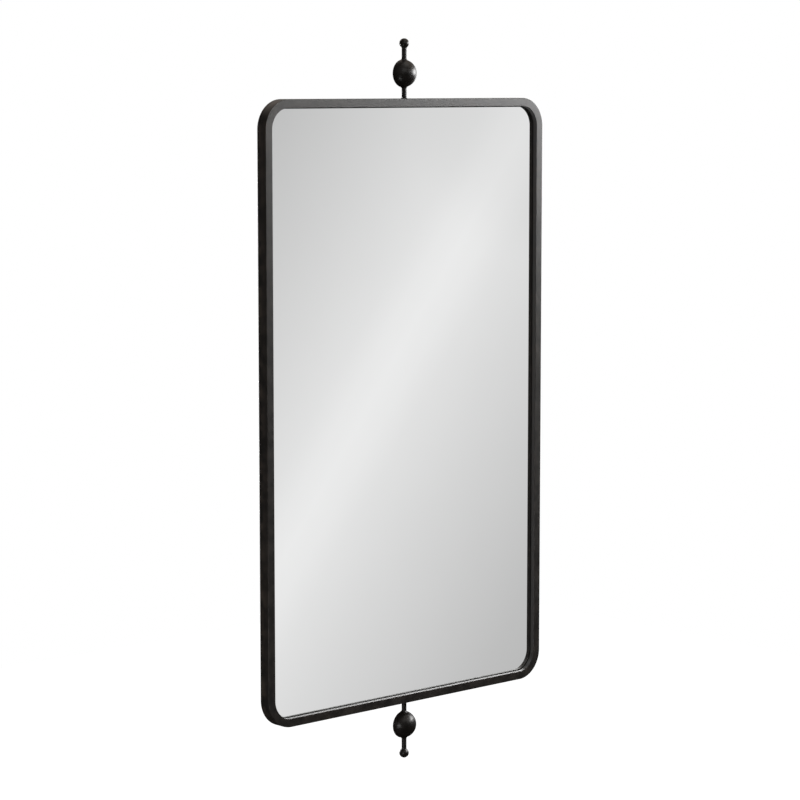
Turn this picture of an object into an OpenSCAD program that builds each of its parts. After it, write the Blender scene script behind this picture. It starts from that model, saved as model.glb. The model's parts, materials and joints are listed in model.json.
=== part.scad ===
// Pivot wall mirror: a bent steel tube frame that turns about an upright axis on a
// yoke hidden behind it. The two finial rods are the pivot pins: each passes a bush
// in the frame and screws into a tongue of the yoke, inside the hollow tube.
// X runs along the mirror, +Y points to the wall, Z is up. The origin is the middle
// of the wall rail's back face, on the wall.

/* [Frame] */
// Outer width of the frame
frame_w = 558.8; // [400:0.1:760]
// Outer height of the frame
frame_h = 914.4; // [640:0.1:1200]
// Outer corner radius of the frame
corner_r = 43; // [30:0.5:70]
// Width of the tube as seen from the front
face_w = 12.7; // [12:0.1:16]
// Depth of the tube, front to back
tube_d = 19; // [18.5:0.1:24]
// Wall of the tube
tube_t = 1.2; // [0.8:0.1:1.4]
// Rounding of the tube's outer edges
edge_r = 1.2; // [0.6:0.1:2]
// Distance from the back face to the seam groove round the tube
seam_back = 3.2; // [2.4:0.1:5]
// Width of the seam groove
seam_w = 0.8; // [0.5:0.1:1.2]
// Depth of the seam groove
seam_d = 0.4; // [0.2:0.1:0.6]

/* [Glass and backing] */
// How far the glass lies behind the front of the frame
recess = 8; // [6:0.1:9]
// Thickness of the mirror glass
glass_t = 3; // [2:0.1:4]
// Gap between the glass and the tube all round
glass_gap = 0.8; // [0.4:0.1:2]
// Thickness of the foam tape that holds the glass to the board
tape_t = 1; // [0.6:0.1:1.4]
// Width of each strip of tape
tape_w = 25; // [15:1:40]
// Distance from the ends of the tape to the edge of the board
tape_end = 45; // [40:1:80]
// Number of strips of tape
tape_count = 4; // [3:1:6]
// Thickness of the backing board
board_t = 4; // [3:0.1:5]
// Gap between the backing board and the tube all round
board_gap = 1; // [0.5:0.1:2]

/* [Tabs behind the board] */
// Thickness of a tab
tab_t = 1.5; // [1:0.1:1.5]
// Width of a tab along the frame
tab_w = 16; // [12:0.5:24]
// Reach of a tab from the tube
tab_reach = 14; // [12:0.5:20]
// Distance from the frame's ends to the outermost tabs
tab_end = 130; // [110:1:160]
// Number of tabs on each side of the frame
side_tabs = 3; // [2:1:5]
// Shank diameter of a tab screw
tab_screw_d = 3; // [2.5:0.1:3.5]
// Head diameter of a tab screw
tab_head_d = 6; // [5:0.1:7]
// Head height of a tab screw
tab_head_h = 1.3; // [0.8:0.1:1.5]
// Diameter of the flat on top of a tab screw's head
tab_head_top_d = 4.6; // [3.5:0.1:5]
// How much of the board's thickness a tab screw leaves uncut
tab_screw_stop = 0.6; // [0.3:0.1:1]

/* [Bumpers] */
// Diameter of a rubber bumper
bumper_d = 9; // [7:0.1:11]
// Height of a rubber bumper
bumper_h = 3.5; // [2:0.1:5]
// Diameter of a rubber bumper at its tip
bumper_tip_d = 7.2; // [5:0.1:8]
// Distance from the round corners to the bumpers
bumper_end = 14; // [8:1:80]

/* [Pivot] */
// Distance from the wall to the pivot axis
reach = 75.5; // [75.5:0.5:110]
// Distance from the frame's back face to the pivot axis
axis_back = 5; // [4.8:0.1:6.5]
// Diameter of the finial rod where it shows
rod_d = 7.5; // [7:0.1:8.4]
// Diameter of the rod where it turns in the bush
journal_d = 6; // [5.5:0.1:6.4]
// Diameter of the threaded end of the rod
thread_d = 5; // [4:0.1:5.2]
// Wall of the bush
bush_t = 0.95; // [0.8:0.05:1.1]
// How far the bush flange stands out past the bush
flange_lip = 0.8; // [0.5:0.1:1]
// Thickness of the bush flange
flange_t = 1; // [0.8:0.1:1.5]
// Gap between the bush flange and the shoulder of the rod
flange_gap = 0.5; // [0.3:0.1:1]
// Thickness of the washer that carries the frame
washer_t = 1.5; // [1:0.1:1.6]
// Outer diameter of the washers
washer_d = 10; // [9:0.5:12]
// Up and down play of the frame, taken by a thinner washer at the bottom
end_play = 0.5; // [0.3:0.1:0.6]

/* [Finials] */
// Distance from the frame to the centre of the dome
dome_out = 37; // [32:0.5:60]
// Radius of the half-ball dome
dome_r = 20.8; // [16:0.1:26]
// Distance from the pivot axis back to the dome's flat side
dome_back = 3; // [1:0.1:3.6]
// Width of the weld bead where the rod leaves the dome
weld_w = 1.6; // [1:0.1:2]
// Length of the weld bead along the rod
weld_h = 2.6; // [2:0.1:4]
// Width of the weld bead at its thin end
weld_tip = 0.3; // [0.2:0.1:0.6]
// Distance from the frame to the centre of the end ball
ball_out = 81.5; // [78:0.5:110]
// Diameter of the end ball
ball_d = 14.6; // [13:0.1:18]
// Fillet where the rod meets the end ball
ball_fillet = 1.4; // [0.8:0.1:1.6]

/* [Wall yoke] */
// Width of the wall rail
rail_w = 40; // [30:1:60]
// Thickness of the wall rail
rail_t = 5; // [4:0.1:8]
// Corner radius of the wall rail
rail_r = 6; // [3:0.5:12]
// Width of an arm
arm_w = 30; // [24:0.5:36]
// Thickness of an arm and its tongue
arm_t = 6; // [5:0.1:6.2]
// Height of the arm's foot on the wall rail
foot_h = 64; // [50:1:90]
// Width of the tongue that enters the tube
tongue_w = 16; // [14:0.1:18]
// Straight length of the tongue behind the pivot axis
tongue_back = 11; // [10.5:0.1:14]
// Length over which the arm widens from the tongue
taper_l = 12; // [6:0.5:20]
// Inner radius of the bend between arm and foot
bend_r = 5; // [3:0.5:8]
// Clearance all round the tongue in the tube's slot
slot_clear = 1; // [0.6:0.1:1.2]
// Extra clearance at each side of the tongue, for the swing
slot_swing = 2; // [1.8:0.1:2.5]
// Number of screw holes into the wall
wall_holes = 4; // [2:2:6]
// Distance from the wall rail's ends to the outermost wall holes
wall_hole_end = 154.5; // [100:0.5:180]
// Diameter of the screw holes into the wall
wall_hole_d = 5.5; // [4:0.1:6.5]
// Diameter of the countersinks of the wall holes
wall_sink_d = 10.5; // [8:0.1:12]
// Diameter of the screws that hold the arms
arm_screw_d = 5; // [4:0.1:6]
// Head diameter of the screws that hold the arms
arm_head_d = 9.6; // [8:0.1:10]
// Distance between the two screws of an arm
arm_screw_pitch = 30; // [24:0.5:32]
// Distance from the foot's end to its first screw
arm_screw_end = 13; // [10:0.5:14]
// Width across flats of the socket in an arm screw
socket_af = 3; // [2.5:0.1:3.4]
// Depth of the socket in an arm screw
socket_h = 2; // [1.5:0.1:2.5]
// How far the arm screws stop short of the wall
screw_short = 0.5; // [0.3:0.1:1]

/* [Fits] */
// Radial clearance of the rod in the bush
run_clear = 0.05; // [0.02:0.01:0.1]
// Radial clearance between parts that are fixed together
fix_clear = 0.05; // [0.02:0.01:0.1]

/* [Hidden] */

$fn = 64;
eps = 0.1;
socket_sides = 6;

// Places in depth: the wall is at 0 and the mirror faces -Y
axis_y = -reach;
back_y = axis_y + axis_back;
front_y = back_y - tube_d;
glass_y = front_y + recess;
tape_y = glass_y + glass_t;
board_y = tape_y + tape_t;
tab_y = board_y + board_t;
foot_y = -rail_t - arm_t;
dome_y = axis_y + dome_back;

// Places in height, counted from the middle of the mirror
frame_top = frame_h / 2;
wall_in = frame_top - tube_t;
tongue_z = wall_in - washer_t;
tongue_low = tongue_z - arm_t;
flange_z = frame_top + flange_t;
shoulder_z = flange_z + flange_gap;
dome_z = frame_top + dome_out;
ball_z = frame_top + ball_out;
ball_foot = ball_z - ball_d / 2;
foot_low = tongue_z - foot_h;

// Sizes that follow from the ones above
rod_r = rod_d / 2;
journal_r = journal_d / 2;
thread_r = thread_d / 2;
bush_in_r = journal_r + run_clear;
bush_r = bush_in_r + bush_t;
flange_r = bush_r + flange_lip;
spigot_h = ball_d / 2;
spacer_z = tongue_z + end_play;
spacer_t = washer_t - end_play;
open_w = frame_w - 2 * face_w;
open_h = frame_h - 2 * face_w;
open_r = corner_r - face_w;
glass_w = open_w - 2 * glass_gap;
glass_h = open_h - 2 * glass_gap;
board_w = open_w - 2 * board_gap;
board_h = open_h - 2 * board_gap;
tape_step = (board_w - 2 * tape_end - tape_w) / (tape_count - 1);
rail_h = 2 * tongue_z;
wall_pitch = (rail_h - 2 * wall_hole_end) / (wall_holes - 1);
wall_sink_h = (wall_sink_d - wall_hole_d) / 2;
slot_w = tongue_w + 2 * (slot_clear + slot_swing);
slot_low = tongue_low - slot_clear;
bumper_x = (frame_w - face_w) / 2;
bumper_z = frame_top - corner_r - bumper_end;
tab_top_x = frame_w / 2 - tab_end;
tab_side_z = frame_top - tab_end;
tab_side_step = 2 * tab_side_z / (side_tabs - 1);
tab_screw_r = tab_screw_d / 2;
tab_screw_l = tab_t + board_t - tab_screw_stop;
arm_screw_r = arm_screw_d / 2;
arm_head_h = (arm_head_d - arm_screw_d) / 2;
socket_d = socket_af / cos(180 / socket_sides);

steel_black = [0.13, 0.12, 0.11];
zinc = [0.72, 0.72, 0.74];
nylon = [0.12, 0.12, 0.12];
silver = [0.86, 0.88, 0.9];
board_brown = [0.5, 0.38, 0.26];
foam_white = [0.9, 0.9, 0.88];
rubber_black = [0.08, 0.08, 0.08];

// A flat rectangle with round corners, centred on its own middle
module round_rect(w, h, r) {
    square([w, h - 2 * r], center = true);
    square([w - 2 * r, h], center = true);
    for (x = [-1, 1], y = [-1, 1])
        translate([x * (w / 2 - r), y * (h / 2 - r)])
            circle(r);
}

// A plate that faces the viewer, from y over its thickness
module face_plate(w, h, r, y, thick) {
    translate([0, y + thick, 0])
        rotate([90, 0, 0])
            linear_extrude(thick)
                round_rect(w, h, r);
}

// A cylinder along Y that starts at y and runs towards the wall
module y_cylinder(x, y, z, h, r1, r2) {
    translate([x, y, z])
        rotate([-90, 0, 0])
            cylinder(h = h, r1 = r1, r2 = r2);
}

// The same part at the bottom of the mirror, upside down
module at_bottom() {
    mirror([0, 0, 1])
        children();
}

// Section of the tube: x from its inner side outwards, y from front to back
module tube_section(inner_x) {
    mid = [inner_x + face_w / 2, (front_y + back_y) / 2];
    difference() {
        translate(mid)
            round_rect(face_w, tube_d, edge_r);
        translate(mid)
            square([face_w - 2 * tube_t, tube_d - 2 * tube_t], center = true);
        translate([inner_x + face_w - seam_d, back_y - seam_back - seam_w])
            square([seam_d + eps, seam_w]);
    }
}

module tube_stile() {
    straight = frame_h - 2 * corner_r;
    translate([0, 0, -straight / 2])
        linear_extrude(straight)
            tube_section(frame_w / 2 - face_w);
}

module tube_rail() {
    straight = frame_w - 2 * corner_r;
    rotate([0, -90, 0])
        translate([0, 0, -straight / 2])
            linear_extrude(straight)
                tube_section(frame_h / 2 - face_w);
}

module tube_corner() {
    translate([frame_w / 2 - corner_r, 0, corner_r - frame_h / 2])
        rotate([-90, 0, 0])
            rotate_extrude(angle = 90)
                tube_section(corner_r - face_w);
}

module frame_tube() {
    color(steel_black)
        difference() {
            union() {
                for (side = [0, 1])
                    mirror([side, 0, 0]) {
                        tube_stile();
                        tube_corner();
                        at_bottom()
                            tube_corner();
                    }
                tube_rail();
                at_bottom()
                    tube_rail();
            }
            for (end = [0, 1])
                mirror([0, 0, end]) {
                    // hole for the bush in the outer wall of the rail
                    translate([0, axis_y, wall_in - eps])
                        cylinder(h = tube_t + 2 * eps, r = bush_r + fix_clear);
                    // slot in the back wall for the tongue and the washer
                    translate([-slot_w / 2, back_y - tube_t - eps, slot_low])
                        cube([slot_w, tube_t + 2 * eps, wall_in - slot_low]);
                }
        }
}

// Flanged bush, pressed into the rail from outside
module bush() {
    color(nylon)
        difference() {
            translate([0, axis_y, wall_in]) {
                cylinder(h = tube_t, r = bush_r);
                translate([0, 0, tube_t])
                    cylinder(h = flange_t, r = flange_r);
            }
            translate([0, axis_y, wall_in - eps])
                cylinder(h = tube_t + flange_t + 2 * eps, r = bush_in_r);
        }
}

module washer(z, thick) {
    color(nylon)
        translate([0, axis_y, z])
            difference() {
                cylinder(h = thick, d = washer_d);
                translate([0, 0, -eps])
                    cylinder(h = thick + 2 * eps, r = journal_r + 2 * run_clear);
            }
}

// Finial rod: threaded end, journal, visible rod and the spigot for the end ball
module rod() {
    color(steel_black)
        translate([0, axis_y, 0]) {
            translate([0, 0, tongue_low])
                cylinder(h = arm_t, r = thread_r);
            translate([0, 0, tongue_z])
                cylinder(h = shoulder_z - tongue_z, r = journal_r);
            translate([0, 0, shoulder_z])
                cylinder(h = ball_foot - ball_fillet - shoulder_z, r = rod_r);
            translate([0, 0, ball_foot - ball_fillet])
                cylinder(h = ball_fillet + spigot_h, r = thread_r);
        }
}

// Half-ball with its flat side to the wall and a channel for the rod
module dome() {
    bead_z = sqrt(dome_r * dome_r - dome_back * dome_back);
    dome_cut = 4 * dome_r;
    color(steel_black)
        difference() {
            union() {
                translate([0, dome_y, dome_z])
                    sphere(dome_r);
                for (end = [0, 1])
                    translate([0, axis_y, dome_z])
                        mirror([0, 0, end])
                            translate([0, 0, bead_z - weld_h / 2])
                                cylinder(h = weld_h, r1 = rod_r + weld_w, r2 = rod_r + weld_tip);
            }
            translate([0, axis_y, dome_z - dome_cut / 2])
                cylinder(h = dome_cut, r = rod_r + fix_clear);
            translate([-dome_cut / 2, dome_y, dome_z - dome_cut / 2])
                cube(dome_cut);
        }
}

module end_ball() {
    neck_r = rod_r + ball_fillet;
    color(steel_black)
        translate([0, axis_y, 0])
            difference() {
                union() {
                    translate([0, 0, ball_z])
                        sphere(d = ball_d);
                    // neck with a hollow fillet between rod and ball
                    translate([0, 0, ball_foot - ball_fillet])
                        rotate_extrude()
                            difference() {
                                square([neck_r, 2 * ball_fillet]);
                                translate([neck_r, 0])
                                    circle(ball_fillet);
                            }
                }
                translate([0, 0, ball_foot - ball_fillet - eps])
                    cylinder(h = ball_fillet + spigot_h + 2 * eps, r = thread_r + fix_clear);
            }
}

// What a round bend of the given radius leaves of a square corner
module bend_corner(w, r, corner) {
    translate([-w / 2, foot_y - bend_r, tongue_low - bend_r])
        difference() {
            cube([w, corner, corner]);
            translate([-eps, 0, 0])
                rotate([0, 90, 0])
                    cylinder(h = w + 2 * eps, r = r);
        }
}

// Arm of the yoke: tongue, widening plate, bend and foot on the wall rail
module arm() {
    plate_y = axis_y + tongue_back + taper_l;
    color(steel_black)
        difference() {
            union() {
                translate([0, axis_y, tongue_low])
                    cylinder(h = arm_t, d = tongue_w);
                translate([0, 0, tongue_low])
                    linear_extrude(arm_t)
                        polygon([
                            [-tongue_w / 2, axis_y],
                            [-tongue_w / 2, axis_y + tongue_back],
                            [-arm_w / 2, plate_y],
                            [-arm_w / 2, -rail_t],
                            [arm_w / 2, -rail_t],
                            [arm_w / 2, plate_y],
                            [tongue_w / 2, axis_y + tongue_back],
                            [tongue_w / 2, axis_y]
                        ]);
                translate([-arm_w / 2, foot_y, foot_low])
                    cube([arm_w, arm_t, foot_h]);
                // inner side of the bend
                bend_corner(arm_w, bend_r, bend_r);
            }
            // outer side of the bend
            bend_corner(arm_w + 2 * eps, bend_r + arm_t, bend_r + arm_t + eps);
            translate([0, axis_y, tongue_low - eps])
                cylinder(h = arm_t + 2 * eps, r = thread_r + fix_clear);
            for (z = arm_screw_places()) {
                y_cylinder(0, foot_y - eps, z, arm_t + 2 * eps,
                    arm_screw_r + fix_clear, arm_screw_r + fix_clear);
                y_cylinder(0, foot_y - eps, z, arm_head_h + eps,
                    arm_head_d / 2 + fix_clear + eps, arm_screw_r + fix_clear);
            }
        }
}

function arm_screw_places() = [for (i = [0, 1]) foot_low + arm_screw_end + i * arm_screw_pitch];

// Two countersunk socket screws of one arm, as separate solids
module arm_screws() {
    color(zinc)
        for (z = arm_screw_places())
            difference() {
                union() {
                    y_cylinder(0, foot_y, z, arm_head_h, arm_head_d / 2, arm_screw_r);
                    y_cylinder(0, foot_y, z, arm_t + rail_t - screw_short, arm_screw_r, arm_screw_r);
                }
                translate([0, foot_y - eps, z])
                    rotate([-90, 0, 0])
                        cylinder(h = socket_h + eps, d = socket_d, $fn = socket_sides);
            }
}

module wall_rail() {
    color(steel_black)
        difference() {
            face_plate(rail_w, rail_h, rail_r, -rail_t, rail_t);
            for (i = [0 : wall_holes - 1]) {
                z = (i - (wall_holes - 1) / 2) * wall_pitch;
                y_cylinder(0, -rail_t - eps, z, rail_t + 2 * eps, wall_hole_d / 2, wall_hole_d / 2);
                y_cylinder(0, -rail_t - eps, z, wall_sink_h + eps, wall_sink_d / 2 + eps, wall_hole_d / 2);
            }
            for (end = [0, 1], z = arm_screw_places())
                mirror([0, 0, end])
                    y_cylinder(0, -rail_t - eps, z, rail_t + 2 * eps,
                        arm_screw_r + fix_clear, arm_screw_r + fix_clear);
        }
}

module mirror_glass() {
    color(silver)
        face_plate(glass_w, glass_h, open_r - glass_gap, glass_y, glass_t);
}

module glass_tape() {
    color(foam_white)
        for (i = [0 : tape_count - 1])
            translate([i * tape_step - board_w / 2 + tape_end, tape_y, tape_end - board_h / 2])
                cube([tape_w, tape_t, board_h - 2 * tape_end]);
}

// Calls its children once at each tab: local X along the tube, local Z into the opening
module each_tab() {
    for (side = [0, 1])
        mirror([side, 0, 0])
            for (i = [0 : side_tabs - 1])
                translate([open_w / 2, 0, i * tab_side_step - tab_side_z])
                    rotate([0, -90, 0])
                        children();
    for (end = [0, 1], side = [-1, 1])
        mirror([0, 0, end])
            translate([side * tab_top_x, 0, -open_h / 2])
                children();
}

module board_screw_holes(y, h, r) {
    each_tab()
        y_cylinder(0, y, tab_reach / 2, h, r, r);
}

module backing_board() {
    color(board_brown)
        difference() {
            face_plate(board_w, board_h, open_r - board_gap, board_y, board_t);
            board_screw_holes(board_y + tab_screw_stop - fix_clear, board_t, tab_screw_r + fix_clear);
        }
}

module board_tabs() {
    color(steel_black)
        difference() {
            each_tab()
                translate([-tab_w / 2, tab_y, 0])
                    cube([tab_w, tab_t, tab_reach]);
            board_screw_holes(tab_y - eps, tab_t + 2 * eps, tab_screw_r + fix_clear);
        }
}

module board_screws() {
    color(zinc)
        each_tab()
            translate([0, tab_y + tab_t, tab_reach / 2]) {
                y_cylinder(0, -tab_screw_l, 0, tab_screw_l, tab_screw_r, tab_screw_r);
                y_cylinder(0, 0, 0, tab_head_h, tab_head_d / 2, tab_head_top_d / 2);
            }
}

module wall_bumpers() {
    color(rubber_black)
        for (x = [-bumper_x, bumper_x], z = [-bumper_z, bumper_z])
            y_cylinder(x, back_y, z, bumper_h, bumper_d / 2, bumper_tip_d / 2);
}

wall_rail();
arm();  // upper_arm
at_bottom() arm();  // lower_arm
arm_screws();  // upper_arm_screws
at_bottom() arm_screws();  // lower_arm_screws
rod();  // upper_rod
at_bottom() rod();  // lower_rod
dome();  // upper_dome
at_bottom() dome();  // lower_dome
end_ball();  // upper_end_ball
at_bottom() end_ball();  // lower_end_ball
washer(tongue_z, washer_t);  // upper_thrust_washer
frame_tube();
bush();  // upper_bush
at_bottom() bush();  // lower_bush
at_bottom() washer(spacer_z, spacer_t);  // lower_spacer_washer
mirror_glass();
glass_tape();
backing_board();
board_tabs();
board_screws();
wall_bumpers();
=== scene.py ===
# Pivot wall mirror, dressed for its photograph. Metres, +Z up; the mirror faces -Y and the wall is at y = 0.
import json
import math

import bmesh
import bpy
from mathutils import Matrix, Vector, noise


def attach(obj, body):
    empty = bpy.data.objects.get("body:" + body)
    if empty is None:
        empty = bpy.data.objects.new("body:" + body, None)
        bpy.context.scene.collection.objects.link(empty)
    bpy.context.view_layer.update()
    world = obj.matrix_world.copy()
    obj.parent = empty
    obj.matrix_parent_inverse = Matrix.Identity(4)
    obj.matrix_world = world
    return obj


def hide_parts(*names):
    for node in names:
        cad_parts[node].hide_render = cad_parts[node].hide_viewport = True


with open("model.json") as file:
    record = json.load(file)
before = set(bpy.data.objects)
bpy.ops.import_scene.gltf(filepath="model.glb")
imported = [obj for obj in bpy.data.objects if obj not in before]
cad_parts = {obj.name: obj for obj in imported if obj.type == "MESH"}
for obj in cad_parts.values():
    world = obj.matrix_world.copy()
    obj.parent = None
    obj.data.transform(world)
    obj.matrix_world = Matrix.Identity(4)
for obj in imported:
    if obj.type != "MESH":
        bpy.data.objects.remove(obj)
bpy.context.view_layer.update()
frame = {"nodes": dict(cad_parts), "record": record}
nodes = frame["nodes"]
mm = 0.001      # the pieces are sized in millimetres, the camera and the studio in metres
mergeWithin = 0.002 * mm
slotOf = {row["node"]: row["material_slot"] for row in frame["record"]["subparts"]}
bodyOf = {node: body for body, names in frame["record"]["behaviour"]["bodies"].items() for node in names}


def startMaterial(name):
    material = bpy.data.materials.new(name)
    material.use_nodes = True
    return material, material.node_tree, material.node_tree.nodes["Principled BSDF"]


def addNode(tree, kind, values=None, **settings):
    made = tree.nodes.new(kind)
    for key, value in settings.items():
        setattr(made, key, value)
    for socket, value in (values or {}).items():
        made.inputs[socket].default_value = value
    return made


def noiseOf(tree, scale, detail=3.0, stretch=(1, 1, 1), turn=0.0):
    coords = addNode(tree, "ShaderNodeTexCoord")
    mapping = addNode(tree, "ShaderNodeMapping", {"Scale": stretch, "Rotation": (0, math.radians(turn), 0)},
                      vector_type="TEXTURE" if turn else "POINT")
    made = addNode(tree, "ShaderNodeTexNoise", {"Scale": scale, "Detail": detail})
    tree.links.new(coords.outputs["Object"], mapping.inputs["Vector"])
    tree.links.new(mapping.outputs["Vector"], made.inputs["Vector"])
    return made.outputs["Fac"]


def cellsOf(tree, scale):
    coords = addNode(tree, "ShaderNodeTexCoord")
    made = addNode(tree, "ShaderNodeTexVoronoi", {"Scale": scale, "Smoothness": 0.6}, feature="SMOOTH_F1")
    tree.links.new(coords.outputs["Object"], made.inputs["Vector"])
    return made.outputs["Distance"]


def mathOf(tree, operation, first, second):
    made = addNode(tree, "ShaderNodeMath", operation=operation)
    for socket, source in zip(made.inputs, (first, second)):
        if isinstance(source, float):
            socket.default_value = source
        else:
            tree.links.new(source, socket)
    return made.outputs["Value"]


def mapTo(tree, source, target, low, high, start=0.3, end=0.7):
    made = addNode(tree, "ShaderNodeMapRange",
                   {"From Min": start, "From Max": end, "To Min": low, "To Max": high})
    tree.links.new(source, made.inputs["Value"])
    if target:
        tree.links.new(made.outputs["Result"], target)
    return made.outputs["Result"]


def colourRamp(tree, source, stops, target=None):
    stops = list(stops)
    made = addNode(tree, "ShaderNodeValToRGB")
    points = made.color_ramp.elements
    while len(points) < len(stops):
        points.new(1.0)
    for point, (place, colour) in zip(points, stops):
        point.position = place
        point.color = (*colour, 1)
    tree.links.new(source, made.inputs["Fac"])
    if target:
        tree.links.new(made.outputs["Color"], target)
    return made.outputs["Color"]


def mixColours(tree, share, first, second, target=None):
    # a Mix node has its factor at 0 and its two colours at 6 and 7
    made = addNode(tree, "ShaderNodeMix", data_type="RGBA")
    for number, source in ((0, share), (6, first), (7, second)):
        if isinstance(source, tuple):
            made.inputs[number].default_value = (*source, 1)
        else:
            tree.links.new(source, made.inputs[number])
    if target:
        tree.links.new(made.outputs[2], target)
    return made.outputs[2]


def paintTwoTones(tree, shader, pattern, finish):
    start, end = finish["spread"]
    colourRamp(tree, pattern, [(start, finish["low"]), (end, finish["high"])], shader.inputs["Base Color"])
    mapTo(tree, pattern, shader.inputs["Roughness"], *finish["roughness"])


def rubEdges(tree, shader, coat, pattern, finish):
    # the metal shows through where the edges are marked as worn and the pattern lets it
    edge = addNode(tree, "ShaderNodeAttribute", attribute_name="worn")
    most, start, end = finish["rubbed"]
    share = mathOf(tree, "MULTIPLY", edge.outputs["Fac"], mapTo(tree, pattern, None, 0.0, most, start, end))
    mixColours(tree, share, coat, finish["worn"], shader.inputs["Base Color"])


def addBumps(tree, shader, heights):
    # each height is a pattern, its strength and its depth in mm
    normal = None
    for source, strength, depth in heights:
        bump = addNode(tree, "ShaderNodeBump", {"Strength": strength, "Distance": depth * mm})
        tree.links.new(source, bump.inputs["Height"])
        if normal:
            tree.links.new(normal, bump.inputs["Normal"])
        normal = bump.outputs["Normal"]
    tree.links.new(normal, shader.inputs["Normal"])


def setShader(shader, **values):
    for socket, value in values.items():
        shader.inputs[socket.replace("_", " ")].default_value = value


# satin black with a breath of bronze; the rounded edges are rubbed a little warmer
frameFinish = {
    "deep": (0.0054, 0.0041, 0.0033), "body": (0.0082, 0.0062, 0.0049),
    "warm": (0.0150, 0.0102, 0.0072), "worn": (0.034, 0.024, 0.017),
    "patch": 6.0, "fleck": 70.0, "grain": 1300.0,
    "deepTo": (0.35, 0.62), "warmTo": (0.30, 0.70), "patchTo": (0.48, 0.72), "rubbed": (0.8, 0.42, 0.66),
    "grainBump": (0.05, 0.02), "fleckBump": (0.06, 0.15),
    "roughness": (0.36, 0.44), "gloss": 0.68,
}
finialFinish = dict(
    frameFinish,
    deep=(0.0038, 0.0028, 0.0022), body=(0.0064, 0.0046, 0.0035),
    warm=(0.0135, 0.0091, 0.0064), worn=(0.020, 0.014, 0.010),
    patch=14.0, fleck=110.0, roughness=(0.34, 0.40), gloss=0.5,
)


def satinBlack(name, finish):
    material, tree, shader = startMaterial(name)
    patches = noiseOf(tree, finish["patch"], detail=4.0)
    flecks = noiseOf(tree, finish["fleck"], detail=5.0)
    grain = noiseOf(tree, finish["grain"], detail=2.0)
    base = colourRamp(tree, flecks, zip(finish["deepTo"], (finish["deep"], finish["body"])))
    bronze = colourRamp(tree, flecks, zip(finish["warmTo"], (finish["body"], finish["warm"])))
    coat = mixColours(tree, mapTo(tree, patches, None, 0.0, 1.0, *finish["patchTo"]), base, bronze)
    rubEdges(tree, shader, coat, flecks, finish)
    mapTo(tree, flecks, shader.inputs["Roughness"], *finish["roughness"])
    addBumps(tree, shader, [(grain, *finish["grainBump"]), (flecks, *finish["fleckBump"])])
    setShader(shader, Specular_IOR_Level=finish["gloss"])
    return material


silverFinish = {"silver": (0.908, 0.911, 0.910), "dull": (0.900, 0.903, 0.902), "spread": (0.3, 0.7),
                "film": 9.0, "wave": 2.2, "waveBump": (0.05, 0.004)}


def silveredGlass():
    material, tree, shader = startMaterial("silvered glass")
    film = noiseOf(tree, silverFinish["film"], detail=5.0)
    waves = noiseOf(tree, silverFinish["wave"], detail=1.0)
    tones = zip(silverFinish["spread"], (silverFinish["silver"], silverFinish["dull"]))
    colourRamp(tree, film, tones, shader.inputs["Base Color"])
    setShader(shader, Metallic=1.0, Roughness=0.0)
    addBumps(tree, shader, [(waves, *silverFinish["waveBump"])])
    return material


edgeFinish = {"low": (0.26, 0.33, 0.30), "high": (0.38, 0.45, 0.42), "spread": (0.3, 0.7),
              "lines": 500.0, "stretch": (0.2, 3.0, 0.2), "roughness": (0.12, 0.25), "bump": (0.1, 0.05)}


def groundEdge():
    material, tree, shader = startMaterial("ground glass edge")
    lines = noiseOf(tree, edgeFinish["lines"], stretch=edgeFinish["stretch"])
    paintTwoTones(tree, shader, lines, edgeFinish)
    addBumps(tree, shader, [(lines, *edgeFinish["bump"])])
    return material


paintFinish = {"low": (0.17, 0.19, 0.19), "high": (0.22, 0.24, 0.24), "spread": (0.3, 0.7),
               "streaks": 60.0, "stretch": (1.0, 1.0, 0.1), "roughness": (0.5, 0.62), "bump": (0.1, 0.03)}


def backPaint():
    material, tree, shader = startMaterial("mirror back paint")
    streaks = noiseOf(tree, paintFinish["streaks"], detail=4.0, stretch=paintFinish["stretch"])
    paintTwoTones(tree, shader, streaks, paintFinish)
    addBumps(tree, shader, [(streaks, *paintFinish["bump"])])
    return material


powderFinish = {
    "low": (0.0105, 0.0105, 0.0108), "high": (0.0175, 0.0175, 0.0178), "worn": (0.035, 0.034, 0.033),
    "peel": 650.0, "speck": 2200.0, "patch": 25.0, "spread": (0.35, 0.7), "rubbed": (0.7, 0.45, 0.65),
    "peelBump": (0.5, 0.12), "speckBump": (0.1, 0.02), "roughness": (0.46, 0.60), "gloss": 0.4,
}


def powderCoat():
    material, tree, shader = startMaterial("yoke powder coat")
    peel = cellsOf(tree, powderFinish["peel"])
    speck = noiseOf(tree, powderFinish["speck"], detail=2.0)
    patch = noiseOf(tree, powderFinish["patch"], detail=4.0)
    coat = colourRamp(tree, speck, zip(powderFinish["spread"], (powderFinish["low"], powderFinish["high"])))
    rubEdges(tree, shader, coat, patch, powderFinish)
    mapTo(tree, patch, shader.inputs["Roughness"], *powderFinish["roughness"])
    addBumps(tree, shader, [(peel, *powderFinish["peelBump"]), (speck, *powderFinish["speckBump"])])
    setShader(shader, Specular_IOR_Level=powderFinish["gloss"])
    return material


zincFinish = {
    # place in the tint, and its colour: bluish, bright, straw
    "tones": [(0.32, (0.52, 0.55, 0.60)), (0.5, (0.66, 0.66, 0.66)), (0.68, (0.66, 0.62, 0.52))],
    "tint": 130.0, "fine": 1500.0, "roughness": (0.20, 0.36), "bump": (0.12, 0.02),
}


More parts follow.
